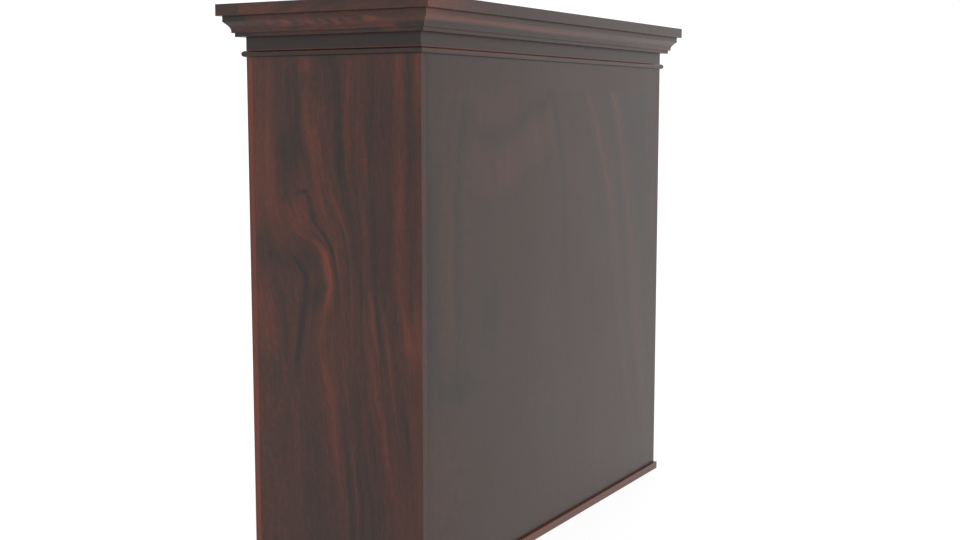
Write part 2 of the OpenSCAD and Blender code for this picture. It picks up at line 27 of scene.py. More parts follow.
MM = 1000.0                # millimetres in a metre
PANEL_FOOT = 20.5          # heights between which the figure is drawn
PANEL_HEAD = 1118.5
FIGURE_LIFT = 3.5          # added to an object's z to get the height in the figure
SIDE_X = 600.0             # outer faces of the two sides
HALF_DEPTH = 217.5         # the sides' edges, in y
FRONT_HALF_SPAN = 640.0    # half the span over which the front's grain is drawn
HEAD_SEAM = 1046.0         # joint between the front's figured leaf and the plain one above
SLAB_HALF_LENGTH = 644.5
SLAB_FRONT = 262.0         # the slab's front edge lies at y = -262
LIPPING = 62.0             # width of the slab's front and end lippings
REAR_JOINT = 199.8         # y of the joint with the slab's rear lipping


# ---------------------------------------------------------------- node helpers
class Signal:
    """A node's output. + - * < > and abs() on it add math nodes."""

    def __init__(self, socket):
        self.socket = socket
        self.tree = socket.id_data

    def __add__(self, other):
        return calc("ADD", self, other)

    def __radd__(self, other):
        return calc("ADD", other, self)

    def __sub__(self, other):
        return calc("SUBTRACT", self, other)

    def __rsub__(self, other):
        return calc("SUBTRACT", other, self)

    def __mul__(self, other):
        return calc("MULTIPLY", self, other)

    def __gt__(self, other):
        return calc("GREATER_THAN", self, other)

    def __lt__(self, other):
        return calc("LESS_THAN", self, other)

    def __abs__(self):
        return calc("ABSOLUTE", self)

    def remap(self, start, end, to_start=0.0, to_end=1.0, smooth=False):
        """Runs from to_start to to_end as the signal goes from start to end, and stops there."""
        values = (self, start, end, to_start, to_end)
        return Signal(add_node(self.tree, "ShaderNodeMapRange", dict(enumerate(values)), clamp=True,
                               interpolation_type="SMOOTHSTEP" if smooth else "LINEAR").outputs[0])

    def bell(self, centre, width):
        """1 at centre, falling away over about width on either side."""
        offset = (self - centre) * (1 / width)
        return calc("EXPONENT", offset * offset * -1.0)


def fill(node, inputs):
    """Links signals to a node's inputs, and sets plain values on them."""
    for key, value in inputs.items():
        if isinstance(value, Signal):
            value.tree.links.new(value.socket, node.inputs[key])
        else:
            node.inputs[key].default_value = value


def add_node(tree, kind, inputs=None, **settings):
    node = tree.nodes.new(kind)
    for key, value in settings.items():
        setattr(node, key, value)
    fill(node, inputs or {})
    return node


def tree_of(values):
    """The node tree of the first signal among values."""
    return next(value.tree for value in values if isinstance(value, Signal))


def calc(operation, *values):
    node = add_node(tree_of(values), "ShaderNodeMath", dict(enumerate(values)), operation=operation)
    return Signal(node.outputs[0])


def mul_add(value, factor, addend):
    return calc("MULTIPLY_ADD", value, factor, addend)


def combine(*axes):
    node = add_node(tree_of(axes), "ShaderNodeCombineXYZ", dict(enumerate(axes)))
    return Signal(node.outputs[0])


def split(vector):
    node = add_node(vector.tree, "ShaderNodeSeparateXYZ", {0: vector})
    return [Signal(socket) for socket in node.outputs]


def noise(*axes, detail=2.0, rough=0.5):
    """3D noise. Each axis is (signal, feature size), or a number that holds it still."""
    point = combine(*[axis[0] * (1 / axis[1]) if isinstance(axis, tuple) else axis
                      for axis in axes])
    node = add_node(point.tree, "ShaderNodeTexNoise",
                    {"Vector": point, "Scale": 1.0, "Detail": detail, "Roughness": rough})
    return Signal(node.outputs[0])


def curve(along, points, start=PANEL_FOOT, end=PANEL_HEAD):
    """A smooth curve through points (place, value), for places from start to end."""
    values = [point[1] for point in points]
    low, high = min(values), max(values)
    if high - low < 1e-9:
        return low
    stops = sorted(((place - start) / (end - start), (value - low) / (high - low))
                   for place, value in points)
    if stops[0][0] > 1e-6:
        stops.insert(0, (0.0, stops[0][1]))
    if stops[-1][0] < 1 - 1e-6:
        stops.append((1.0, stops[-1][1]))
    node = add_node(along.tree, "ShaderNodeFloatCurve")
    line = node.mapping.curves[0]
    line.points[0].location = stops[0]
    line.points[-1].location = stops[-1]
    for stop in stops[1:-1]:
        line.points.new(*stop)
    for point in line.points:
        point.handle_type = "AUTO_CLAMPED"
    node.mapping.update()
    fill(node, {0: 1.0, 1: mul_add(along, 1 / (end - start), -start / (end - start))})
    return mul_add(Signal(node.outputs[0]), high - low, low)


def ramp(factor, stops):
    """A colour ramp through stops (position, colour)."""
    node = add_node(factor.tree, "ShaderNodeValToRGB", {0: factor})
    elements = node.color_ramp.elements
    for element, (position, colour) in ((elements[0], stops[0]), (elements[1], stops[-1])):
        element.position = position
        element.color = (*colour, 1)
    for position, colour in stops[1:-1]:
        elements.new(position).color = (*colour, 1)
    return Signal(node.outputs[0])


def mix(factor, first, second, blend="MIX"):
    """Colour mix."""
    first, second = (colour if isinstance(colour, Signal) else (*colour, 1)
                     for colour in (first, second))
    node = add_node(tree_of((factor, first)), "ShaderNodeMix", {0: factor, 6: first, 7: second},
                    data_type="RGBA", blend_type=blend)
    return Signal(node.outputs[2])


def mix_vectors(factor, first, second):
    node = add_node(factor.tree, "ShaderNodeMix", {0: factor, 4: first, 5: second},
                    data_type="VECTOR")
    return Signal(node.outputs[1])


def lerp(factor, first, second):
    """Number mix."""
    node = add_node(factor.tree, "ShaderNodeMix", {0: factor, 2: first, 3: second},
                    data_type="FLOAT")
    return Signal(node.outputs[0])


def new_group(name, inputs, outputs):
    """A shader group. inputs maps names to defaults, None making a vector; outputs maps
    names to socket kinds. Returns the tree, its input signals and its output node."""
    tree = bpy.data.node_groups.new(name, "ShaderNodeTree")
    for key, default in inputs.items():
        kind = "Vector" if default is None else "Float"
        socket = tree.interface.new_socket(key, in_out="INPUT", socket_type="NodeSocket" + kind)
        if default is not None:
            socket.default_value = default
    for key, kind in outputs.items():
        tree.interface.new_socket(key, in_out="OUTPUT", socket_type="NodeSocket" + kind)
    given = {socket.name: Signal(socket)
             for socket in add_node(tree, "NodeGroupInput").outputs if socket.name}
    return tree, given, add_node(tree, "NodeGroupOutput")


def apply(group, **inputs):
    """Adds a shader group where its inputs come from, and returns its outputs by name."""
    node = add_node(tree_of(inputs.values()), "ShaderNodeGroup", node_tree=group)
    fill(node, inputs)
    return {socket.name: Signal(socket) for socket in node.outputs}


# ---------------------------------------------------------------- the wood
WOOD_COLOURS = [
    (0.00, (0.0065, 0.0036, 0.0026)),
    (0.20, (0.0150, 0.0062, 0.0040)),
    (0.40, (0.0290, 0.0087, 0.0048)),
    (0.60, (0.0490, 0.0122, 0.0059)),
    (0.80, (0.0770, 0.0165, 0.0072)),
    (1.00, (0.1150, 0.0225, 0.0088))]
PORE_COLOUR = (0.0060, 0.0040, 0.0030)
# (hue at which the tint is full, tint)
HUE_TINTS = [(3.0, (1.12, 0.86, 0.74)), (-3.0, (0.86, 1.12, 1.10))]


def make_wood():
    """Lacquered figured mahogany. P is in mm: x across the grain, y through
    the board, z along the grain. Figure brightens or darkens."""
    group, given, result = new_group(
        "lacquered_mahogany",
        {"P": None, "Figure": 0.0, "Seed": 0.0, "Tone": 0.0, "Contrast": 1.0, "Warmth": 0.0,
         "Gloss": 0.0},
        {"Color": "Color", "Roughness": "Float", "Height": "Float"})
    seed = given["Seed"]
    # each seed cuts its board from another place in the noise
    shift = combine(seed * 171.3, seed * 93.7, seed * 1311.9)
    point = add_node(group, "ShaderNodeVectorMath", {0: given["P"], 1: shift}, operation="ADD")
    x, y, z = split(Signal(point.outputs[0]))

    # slow wander of the grain
    wander = noise((x, 160), (y, 160), (z, 620), detail=1.0)
    ripple = noise((x, 30), (y, 30), (z, 120), detail=1.0)
    bent = x + (wander - 0.5) * 40 + (ripple - 0.5) * 8

    def grain(across, along, detail=2.0, rough=0.5):
        return noise((bent, across), (y, across), (z, along), detail=detail, rough=rough)

    bands = grain(across=30, along=800)
    streaks = grain(across=6.5, along=110, rough=0.6)
    mottle = grain(across=6.5, along=15, rough=0.6)
    flecks = grain(across=2.7, along=16, rough=0.62)
    fibres = grain(across=0.8, along=13, detail=1.0, rough=0.6)
    pore = grain(across=0.42, along=5.5, detail=0.0).remap(0.64, 0.74)
    cloud = noise((x, 190), (y, 190), (z, 260), detail=1.0)

    spread = ((bands - 0.5) * 0.66 + (streaks - 0.5) * 0.66 + (mottle - 0.5) * 0.42
              + (flecks - 0.5) * 0.70 + (fibres - 0.5) * 0.40)
    brightness = 0.5 + spread * given["Contrast"] + given["Tone"] + given["Figure"]
    brightness = calc("MINIMUM", calc("MAXIMUM", brightness, 0.0), 1.0)
    colour = ramp(brightness, WOOD_COLOURS)

    # patches that lean to red or to brown
    hue = cloud.remap(0.35, 0.65, -1.0, 1.0) + given["Warmth"] * 2.0
    for full, tint in HUE_TINTS:
        tinted = mix(1.0, colour, tint, "MULTIPLY")
        colour = mix(hue.remap(0.0, full, 0.0, 0.9), colour, tinted)
    fill(result, {
        "Color": mix(pore * 0.55, colour, PORE_COLOUR),
        "Roughness": (0.30 + (cloud - 0.5) * 0.08 + (flecks - 0.5) * 0.06 + pore * 0.15
                      + given["Gloss"] * -1.0),
        "Height": fibres * 0.25 + flecks * 0.12 + pore * -0.75})
    return group


# ---------------------------------------------------------------- drawing the figure
def flow(across, z, lines, first, last):
    """A coordinate that is constant along each drawn grain line, so that the
    grain between two lines follows both. lines is [(value, [(z, place), ...])]."""
    marks = [(first, first)]
    marks += [(value, curve(z, points)) for value, points in lines]
    marks.append((last, last))
    total = first
    for (value, place), (next_value, next_place) in zip(marks, marks[1:]):
        total = across.remap(place, next_place, 0.0, next_value - value) + total
    return total


def add_streaks(across, z, items):
    """Adds up drawn streaks: (width, [(z, place, strength), ...])."""
    total = 0.0
    for width, points in items:
        centre = curve(z, [(height, place) for height, place, _ in points])
        strength = curve(z, [(height, value) for height, _, value in points])
        total = mul_add(across.bell(centre, width), strength, total)
    return total


def add_spots(across, z, items):
    """Adds up soft patches: (place, z, half width, half height, strength)."""
    total = 0.0
    for place, height, half_width, half_height, strength in items:
        side = (across - place) * (1 / half_width)
        rise = (z - height) * (1 / half_height)
        spot = calc("EXPONENT", mul_add(side, side, rise * rise) * -1.0)
        total = mul_add(spot, strength, total)
    return total


# Grain lines of the side: (value, [(z, place from the rear edge), ...])
SIDE_LINES = [
    (48, [(1122, 45), (900, 45), (800, 50), (720, 62), (660, 74), (600, 84), (520, 91), (420, 95),
        (300, 98), (180, 104)]),
    (88, [(1122, 62), (1000, 60), (900, 58), (820, 58), (765, 70), (715, 95), (690, 122),
        (655, 142), (610, 142), (560, 133), (500, 122), (450, 115), (380, 114), (280, 115),
        (180, 119)]),
    (150, [(1122, 96), (1000, 84), (920, 79), (850, 82), (800, 98), (757, 132), (735, 168),
        (715, 192), (690, 205), (655, 210), (615, 203), (570, 191), (520, 188), (470, 195),
        (420, 205), (370, 212), (320, 217), (260, 225), (180, 238)]),
    (182, [(1122, 132), (1000, 130), (950, 137), (900, 150), (850, 162), (800, 174), (765, 192),
        (740, 208), (715, 219), (670, 227), (630, 230), (580, 228), (520, 222), (460, 224),
        (400, 230), (330, 240), (250, 248), (180, 254)]),
    (210, [(1122, 160), (1050, 150), (990, 149), (930, 160), (870, 174), (820, 184), (780, 201),
        (740, 219), (700, 233), (660, 241), (600, 243), (540, 243), (480, 246), (420, 250),
        (340, 257), (260, 264), (180, 270)]),
    (256, [(1122, 226), (1050, 230), (1000, 234), (950, 236), (900, 237), (850, 241), (810, 249),
        (770, 258), (720, 267), (660, 273), (600, 276), (540, 277), (480, 278), (420, 281),
        (340, 290), (260, 300), (180, 312)]),
    (304, [(1122, 301), (1000, 296), (900, 298), (800, 301), (720, 303), (660, 305), (600, 312),
        (540, 320), (480, 326), (420, 330), (340, 341), (260, 354), (180, 366)]),
    (348, [(1122, 350), (1000, 347), (900, 348), (800, 345), (720, 341), (640, 342), (560, 346),
        (490, 354), (430, 363), (340, 374), (260, 382), (180, 388)]),
    (392, [(1122, 388), (1000, 387), (900, 386), (800, 384), (700, 383), (620, 389), (540, 400),
        (460, 409), (380, 414), (280, 417), (180, 419)]),
]

# Streaks of the side: (width, [(z, place from the rear edge, strength), ...])
SIDE_STREAKS = [
    # the bright S
    (11, [(765, 118, 0), (745, 142, 0.14), (735, 166, 0.26), (724, 187, 0.4), (708, 198, 0.52),
        (690, 203, 0.56), (668, 207, 0.56), (650, 208, 0.5), (620, 203, 0.42), (590, 196, 0.3),
        (560, 189, 0.22), (520, 188, 0.2), (480, 192, 0.26), (450, 198, 0.3), (420, 204, 0.3),
        (390, 209, 0.28), (350, 214, 0.22), (300, 219, 0.18), (260, 225, 0.16), (220, 231, 0.12),
        (180, 238, 0.06)]),
    # the dark line round its front side, and on up beside the next streak
    (5.5, [(835, 157, 0), (826, 159, -0.28), (812, 161, -0.36), (800, 164, -0.38),
        (780, 169, -0.38), (768, 176, -0.4), (757, 188, -0.42), (745, 199, -0.42),
        (733, 207, -0.42), (715, 215, -0.42), (700, 219, -0.4), (670, 223, -0.36),
        (640, 226, -0.28), (600, 227, -0.2), (560, 225, -0.1), (500, 220, -0.05), (420, 228, 0)]),
    (8, [(1122, 134, -0.04), (1060, 131, -0.1), (1000, 130, -0.14), (950, 138, -0.22),
        (900, 150, -0.2), (870, 157, -0.18), (845, 162, -0.14), (825, 168, 0)]),
    (12.5, [(1122, 150, 0.14), (1090, 152, 0.22), (1060, 158, 0.1), (1040, 153, 0.2),
        (1000, 153, 0.28), (950, 161, 0.3), (900, 172, 0.28), (870, 178, 0.26), (830, 184, 0.22),
        (800, 192, 0.18), (780, 201, 0.14), (760, 212, 0.12), (740, 221, 0.14), (700, 232, 0.12),
        (660, 240, 0.06), (600, 243, 0.03), (500, 245, 0)]),
    (11, [(1100, 185, -0.06), (1000, 178, 0.1), (930, 184, 0.12), (870, 196, 0.1),
        (830, 205, 0.08), (780, 228, 0)]),
    # the long dark streak and the bright edge in front of it
    (13, [(1122, 224, -0.18), (1080, 230, -0.28), (1040, 234, -0.38), (1000, 236, -0.44),
        (950, 236, -0.48), (900, 238, -0.46), (870, 241, -0.4), (840, 247, -0.34),
        (800, 256, -0.28), (760, 265, -0.22), (700, 272, -0.14), (650, 276, -0.08),
        (560, 278, -0.05), (480, 279, -0.04)]),
    (8, [(1122, 266, 0.12), (1080, 263, 0.2), (1030, 259, 0.22), (980, 256, 0.2),
        (900, 256, 0.14), (850, 264, 0.07), (800, 272, 0)]),
    (4.5, [(1060, 293, 0), (1000, 294, 0.1), (950, 296, 0.16), (900, 298, 0.16), (860, 300, 0.06),
        (820, 301, 0)]),
    (5, [(880, 205, 0), (850, 212, 0.1), (820, 222, 0.16), (790, 237, 0.22), (760, 250, 0.22),
        (735, 258, 0.14), (700, 263, 0.06), (660, 266, 0)]),
    # the bright band near the front edge
    (10, [(1122, 385, 0.22), (1060, 385, 0.22), (1020, 385, 0.18), (970, 386, 0.11),
        (930, 386, 0.09), (900, 383, 0.14), (850, 383, 0.15), (820, 384, 0.18), (780, 383, 0.18),
        (750, 382, 0.14), (700, 382, 0.16), (650, 384, 0.22), (600, 390, 0.26), (560, 398, 0.26),
        (520, 406, 0.22), (480, 411, 0.1), (440, 412, 0.02)]),
    (7, [(1122, 405, -0.12), (1050, 406, -0.18), (980, 406, -0.15), (900, 408, -0.1),
        (850, 409, -0.05), (800, 410, 0)]),
    (8, [(1122, 426, 0.2), (1040, 426, 0.18), (980, 426, 0.08), (900, 426, 0), (700, 424, 0),
        (620, 424, 0.08), (560, 426, 0.22), (520, 427, 0.18), (470, 428, 0.05)]),
    # the black line through the eye
    (8.5, [(712, 92, 0), (706, 104, -0.22), (700, 115, -0.3), (688, 126, -0.34),
        (670, 138, -0.4), (655, 146, -0.42), (640, 146, -0.36), (625, 142, -0.34),
        (600, 140, -0.34), (570, 135, -0.34), (540, 131, -0.34), (510, 126, -0.3),
        (480, 121, -0.26), (450, 117, -0.2), (430, 115, -0.14), (400, 116, -0.08),
        (370, 115, -0.08), (350, 112, -0.04), (300, 112, 0)]),
    (16, [(640, 142, 0), (600, 138, -0.08), (560, 134, -0.11), (520, 128, -0.1),
        (480, 121, -0.06), (440, 116, 0)]),
    (10, [(690, 60, 0), (650, 68, -0.13), (610, 79, -0.19), (560, 87, -0.16), (530, 90, -0.11),
        (490, 92, -0.04), (460, 92, 0)]),
    (6, [(500, 81, 0), (470, 86, 0.13), (430, 93, 0.18), (390, 102, 0.18), (360, 108, 0.09),
        (330, 112, 0)]),
    # the front half, mostly low down
    (4, [(640, 292, 0), (600, 294, 0.16), (560, 296, 0.22), (520, 298, 0.15), (480, 301, 0.05),
        (450, 303, 0)]),
    (6, [(665, 307, 0), (630, 311, 0.22), (590, 315, 0.32), (550, 320, 0.3), (515, 326, 0.2),
        (490, 330, 0.05), (470, 333, 0)]),
    (5.5, [(720, 318, -0.04), (680, 322, -0.08), (640, 326, -0.12), (610, 328, -0.19),
        (580, 331, -0.25), (540, 336, -0.26), (510, 341, -0.22), (480, 346, -0.12),
        (440, 354, -0.04)]),
    (4, [(640, 350, 0.04), (560, 352, 0.13), (500, 356, 0.22), (450, 361, 0.2), (400, 367, 0.13),
        (340, 375, 0.05), (300, 380, 0)]),
    (8, [(545, 304, 0), (510, 309, 0.12), (470, 315, 0.2), (430, 322, 0.2), (380, 335, 0.2),
        (330, 344, 0.22), (280, 353, 0.2), (230, 362, 0.15), (180, 371, 0.08)]),
    (9, [(480, 269, 0), (440, 271, -0.12), (380, 277, -0.17), (320, 284, -0.17),
        (260, 294, -0.21), (200, 305, -0.2), (180, 309, -0.2)]),
    (7, [(430, 224, 0), (400, 229, -0.13), (360, 236, -0.24), (300, 243, -0.32),
        (250, 248, -0.33), (200, 254, -0.3), (180, 257, -0.26)]),
    (4, [(345, 255, 0), (300, 260, 0.16), (250, 266, 0.22), (200, 272, 0.2), (180, 274, 0.16)]),
    (6, [(315, 266, 0), (280, 271, -0.13), (230, 278, -0.22), (180, 286, -0.2)]),
    (7, [(460, 380, -0.03), (410, 388, -0.16), (360, 397, -0.18), (310, 402, -0.1),
        (260, 404, -0.05), (220, 405, 0)]),
    (7, [(440, 408, 0), (400, 412, 0.12), (330, 418, 0.16), (260, 424, 0.1), (200, 428, 0)]),
    (3.5, [(1000, 272, 0), (940, 272, -0.12), (880, 275, -0.14), (820, 280, -0.1),
        (770, 284, -0.14), (720, 287, -0.16), (660, 288, -0.12), (600, 288, -0.1),
        (540, 289, -0.14), (500, 291, -0.1), (440, 294, 0)]),
    (3.5, [(850, 288, 0), (800, 292, 0.1), (750, 295, 0.14), (700, 296, 0.12), (650, 297, 0.1),
        (600, 300, 0)]),
    (3.5, [(800, 228, 0), (770, 238, -0.14), (740, 246, -0.18), (700, 252, -0.18),
        (650, 256, -0.16), (600, 258, -0.12), (560, 258, -0.06), (500, 258, 0)]),
    (3.5, [(700, 258, 0), (660, 262, 0.1), (600, 264, 0.12), (540, 264, 0.12), (480, 264, 0.08),
        (430, 266, 0)]),
    (3, [(760, 196, 0), (745, 206, 0), (725, 222, 0.1), (700, 228, 0.2), (670, 233, 0.18),
        (630, 236, 0.08), (590, 237, 0)]),
    (3.5, [(620, 340, 0), (590, 343, 0.14), (550, 347, 0.2), (510, 351, 0.16), (470, 355, 0.06),
        (430, 360, 0)]),
    (3, [(420, 300, 0), (380, 306, -0.12), (330, 314, -0.16), (270, 324, -0.16),
        (220, 332, -0.12), (180, 338, -0.08)]),
    (4, [(540, 236, 0), (500, 240, 0.12), (460, 244, 0.16), (420, 248, 0.12), (390, 251, 0)]),
]

# Patches of the side: (place from the rear edge, z, half width, half height, strength)
SIDE_SPOTS = [
    (40, 960, 38, 160, 0.2), (42, 850, 36, 80, 0.17), (52, 1075, 26, 18, 0.09),
    (80, 792, 40, 26, 0.08), (108, 1040, 32, 70, -0.2), (106, 915, 30, 50, -0.26),
    (88, 935, 12, 26, -0.14), (125, 950, 14, 70, -0.14), (118, 1035, 4, 30, 0.12),
    (128, 778, 30, 34, 0.26), (150, 758, 16, 14, 0.06), (152, 1098, 18, 20, 0.12),
    (208, 1100, 20, 30, -0.14), (214, 1040, 12, 60, -0.14), (100, 697, 76, 34, -0.15),
    (35, 715, 24, 28, -0.12), (150, 688, 34, 22, -0.1), (168, 620, 24, 26, -0.22),
    (186, 640, 8, 24, -0.14), (45, 585, 34, 80, 0.2), (60, 520, 24, 30, 0.08),
    (48, 440, 42, 40, -0.13), (334, 960, 26, 70, -0.12), (345, 1040, 25, 50, -0.08),
    (328, 760, 30, 70, -0.16), (338, 690, 24, 60, -0.1), (415, 820, 18, 110, -0.12),
    (368, 590, 8, 60, -0.12), (322, 300, 8, 50, -0.14), (336, 240, 8, 50, -0.14),
    (250, 560, 22, 60, 0.07), (155, 330, 40, 130, -0.06), (60, 300, 55, 90, -0.03),
    (280, 620, 18, 60, -0.08), (412, 548, 20, 46, 0.16), (410, 960, 60, 90, -0.08),
    (400, 330, 70, 130, -0.12), (200, 110, 260, 130, -0.1), (300, 960, 40, 120, -0.05)]
# The small hook and the knot, with the same columns
SIDE_KNOT = [
    (131, 829, 6, 5, -0.26), (139, 837, 8, 4.5, -0.34), (150, 836, 7, 5, -0.34),
    (157, 827, 4.5, 8, -0.3), (172, 786, 10, 12, -0.16), (52, 702, 5, 6, -0.38),
    (28, 734, 12, 9, -0.12)]


def make_side_figure():
    """The side's swirled veneer. s runs from the rear edge to the front edge."""
    group, given, result = new_group("side_figure", {"s": 0.0, "z": 0.0},
                                     {"t": "Float", "Figure": "Float"})
    z = given["z"]
    jitter = noise((given["s"], 26), 3.0, (z, 60))
    across = given["s"] + (jitter - 0.5) * 5.0
    grain = flow(across, z, SIDE_LINES, 0.0, 2 * HALF_DEPTH)
    # ragged, fibrous edges for the drawn streaks
    rag = noise((grain, 3.6), 5.0, (z, 55), rough=0.6)
    wave = noise((grain, 15), 9.0, (z, 120), detail=1.0)
    ragged = across + (rag - 0.5) * 9.0 + (wave - 0.5) * 10.0
    figure = add_streaks(ragged, z, SIDE_STREAKS)
    figure = figure + add_spots(ragged, z, SIDE_SPOTS)
    # the hook and the knot keep clean edges
    figure = figure + add_spots(across, z, SIDE_KNOT)
    fill(result, {"t": grain, "Figure": figure * 0.92})
    return group


# Grain lines of the front: (value, [(z, x), ...])
FRONT_LINES = [
    (-470, [(1122, -440), (1000, -455), (900, -478), (700, -484), (500, -474), (300, -462),
        (23, -450)]),
    (-200, [(1122, -200), (900, -205), (700, -200), (500, -195), (300, -185), (23, -170)]),
    (40, [(1122, -40), (1045, -50), (1010, -28), (940, 0), (880, 16), (800, 26), (700, 30),
        (600, 32), (450, 44), (300, 60), (23, 90)]),
    (250, [(1122, 130), (1045, 152), (1000, 182), (920, 222), (850, 258), (750, 292), (650, 316),
        (520, 342), (400, 372), (300, 396), (200, 428), (23, 476)]),
    (400, [(1122, 275), (1045, 300), (950, 344), (850, 376), (750, 404), (620, 432), (500, 456),
        (400, 480), (250, 516), (120, 552), (23, 574)]),
]

# Streaks of the front: (width, [(z, x, strength), ...])
FRONT_STREAKS = [
    (17, [(1122, 130, 0.18), (1045, 152, 0.22), (1000, 182, 0.26), (920, 222, 0.29),
        (850, 258, 0.28), (780, 286, 0.25), (720, 300, 0.18), (650, 314, 0.13), (560, 332, 0.15),
        (480, 348, 0.16), (400, 368, 0.14), (300, 394, 0.13), (200, 424, 0.1), (23, 476, 0.04)]),
    (20, [(1122, 275, 0.16), (1045, 300, 0.24), (950, 342, 0.22), (850, 372, 0.2),
        (750, 402, 0.21), (620, 430, 0.2), (500, 452, 0.17), (400, 474, 0.16), (250, 508, 0.15),
        (120, 540, 0.1), (23, 562, 0.05)]),
    (17, [(1122, 240, -0.1), (1045, 265, -0.13), (950, 300, -0.12), (850, 330, -0.11),
        (700, 362, -0.1), (500, 400, -0.11), (350, 432, -0.12), (200, 466, -0.1),
        (23, 520, -0.06)]),
    (28, [(1122, 345, -0.12), (1045, 380, -0.16), (900, 440, -0.15), (800, 470, -0.12),
        (650, 500, -0.12), (450, 530, -0.13), (250, 566, -0.12), (100, 590, -0.08)]),
    (34, [(1122, 470, -0.1), (1045, 480, -0.14), (950, 490, -0.14), (850, 520, -0.08),
        (700, 560, -0.02), (600, 575, -0.08), (450, 590, -0.08), (300, 600, -0.05)]),
    (16, [(1045, 120, -0.05), (950, 165, -0.08), (860, 200, -0.1), (760, 232, -0.08),
        (680, 268, -0.05), (560, 300, -0.08), (400, 340, -0.08), (200, 392, -0.1),
        (23, 450, -0.06)]),
    (20, [(700, 130, 0), (600, 172, -0.09), (520, 190, -0.1), (430, 225, -0.04), (380, 240, 0)]),
    (15, [(1045, -45, -0.12), (1000, -24, -0.16), (940, 0, -0.16), (880, 16, -0.15),
        (800, 26, -0.14), (700, 28, -0.12), (600, 30, -0.1), (450, 40, -0.06), (300, 50, -0.03)]),
    (14, [(1045, 30, 0), (1000, 40, 0.06), (900, 52, 0.06), (800, 66, 0.05), (700, 74, 0.03),
        (600, 80, 0.02)]),
    (12, [(1020, -300, 0), (700, 112, 0.02), (640, 116, 0.07), (580, 120, 0.04), (500, 124, 0)]),
    # the left side's bands
    (13, [(1122, -573, -0.12), (900, -573, -0.18), (820, -573, -0.32), (700, -573, -0.28),
        (560, -573, -0.34), (450, -573, -0.34), (380, -573, -0.14), (200, -573, -0.1),
        (23, -573, -0.08)]),
    (22, [(1040, -505, 0), (960, -508, 0.02), (850, -504, 0.09), (760, -500, 0.16),
        (600, -498, 0.17), (500, -495, 0.12), (450, -492, 0)]),
    (9, [(1040, -428, -0.05), (980, -440, -0.11), (880, -458, -0.17), (800, -462, -0.17),
        (700, -464, -0.14), (560, -464, -0.14), (460, -462, -0.16), (400, -460, -0.1),
        (340, -458, 0)]),
    (14, [(1040, -530, -0.04), (950, -535, -0.06), (850, -545, -0.1), (780, -550, -0.16),
        (700, -550, -0.1), (600, -550, -0.12), (500, -545, -0.2), (440, -530, -0.26),
        (400, -525, -0.14), (370, -520, 0)]),
]

# Rim of the arch: (x, z)
ARCH_RIM = [
    (-600, 1010), (-440, 1012), (-420, 1000), (-398, 978), (-350, 951), (-310, 947), (-230, 967),
    (-170, 992), (-130, 1022), (-108, 1014), (-80, 1022), (-52, 1044), (-30, 1016), (-10, 970),
    (5, 920), (40, 840), (600, 800)]

# Patches of the front: (x, z, half width, half height, strength)
FRONT_SPOTS = [
    (-330, 1000, 60, 36, 0.06), (-240, 1030, 70, 22, 0.05), (-440, 880, 40, 90, 0.09),
    (-420, 740, 40, 110, 0.08), (-150, 830, 80, 40, 0.06), (-200, 770, 130, 90, 0.03),
    (-325, 560, 36, 66, -0.15), (-300, 610, 26, 34, -0.05), (-450, 425, 56, 32, -0.2),
    (-350, 410, 60, 22, -0.05), (-545, 980, 34, 70, 0.1), (-470, 1040, 60, 30, 0.08),
    (-440, 950, 26, 50, -0.1), (-500, 260, 80, 130, 0.12), (-560, 200, 30, 160, 0.05),
    (-30, 250, 8, 90, -0.06), (588, 760, 22, 80, 0.12), (480, 960, 90, 120, -0.07),
    (-200, 300, 150, 150, -0.03), (200, 260, 120, 130, 0.03), (80, 480, 60, 90, -0.01),
    (-60, 600, 110, 170, 0.03)]


def make_front_figure():
    """The hall face: a cathedral arch left of the middle, and two long pale
    streaks running down to the right, below a plain head band."""
    group, given, result = new_group("front_figure", {"x": 0.0, "z": 0.0},
                                     {"t": "Float", "Figure": "Float", "Head": "Float"})
    z = given["z"]
    jitter = noise((given["x"], 60), 8.0, (z, 120))
    x = given["x"] + (jitter - 0.5) * 14.0
    grain = flow(x, z, FRONT_LINES, -FRONT_HALF_SPAN, FRONT_HALF_SPAN)
    rag = noise((grain, 7), 5.0, (z, 70), rough=0.6)
    ragged = x + (rag - 0.5) * 26.0
    figure = add_streaks(ragged, z, FRONT_STREAKS)

    # a dark line along the arch's rim, then a pale and a dark band inside it
    over = z + (rag - 0.5) * 34.0 - curve(x, ARCH_RIM, -600.0, 600.0)
    span = (x.remap(-440, -340, 0.35, 1.0, smooth=True) * x.remap(-450, -410)
            * x.remap(0, -40, smooth=True))
    inner = x.remap(-470, -330, smooth=True) * x.remap(30, -50, smooth=True)
    figure = mul_add(over.bell(-6.0, 15.0) * span, -0.17, figure)
    figure = mul_add(over.bell(-80.0, 54.0) * inner, 0.20, figure)
    figure = mul_add(over.bell(-160.0, 22.0) * inner, -0.06, figure)
    # a coarse mottle, strongest towards the left
    clouds = noise((x, 26), 6.0, (z, 20), rough=0.6) - 0.5
    figure = mul_add(clouds, mul_add(x.remap(-120.0, -420.0), 0.26, 0.08), figure)
    # a pale band just above the arch
    above = over.remap(12.0, 34.0, smooth=True) * over.remap(130.0, 60.0, smooth=True)
    left = x.remap(-470, -400, smooth=True) * x.remap(-120, -210, smooth=True)
    figure = mul_add(above * left, 0.08, figure)
    seam = HEAD_SEAM + FIGURE_LIFT
    fill(result, {
        "t": grain,
        "Figure": figure + add_spots(ragged, z, FRONT_SPOTS),
        "Head": z.remap(seam - 0.3, seam + 0.3) * x.remap(-190.0, -100.0, smooth=True)})
    return group


WOOD = make_wood()
SIDE_FIGURE = make_side_figure()
FRONT_FIGURE = make_front_figure()


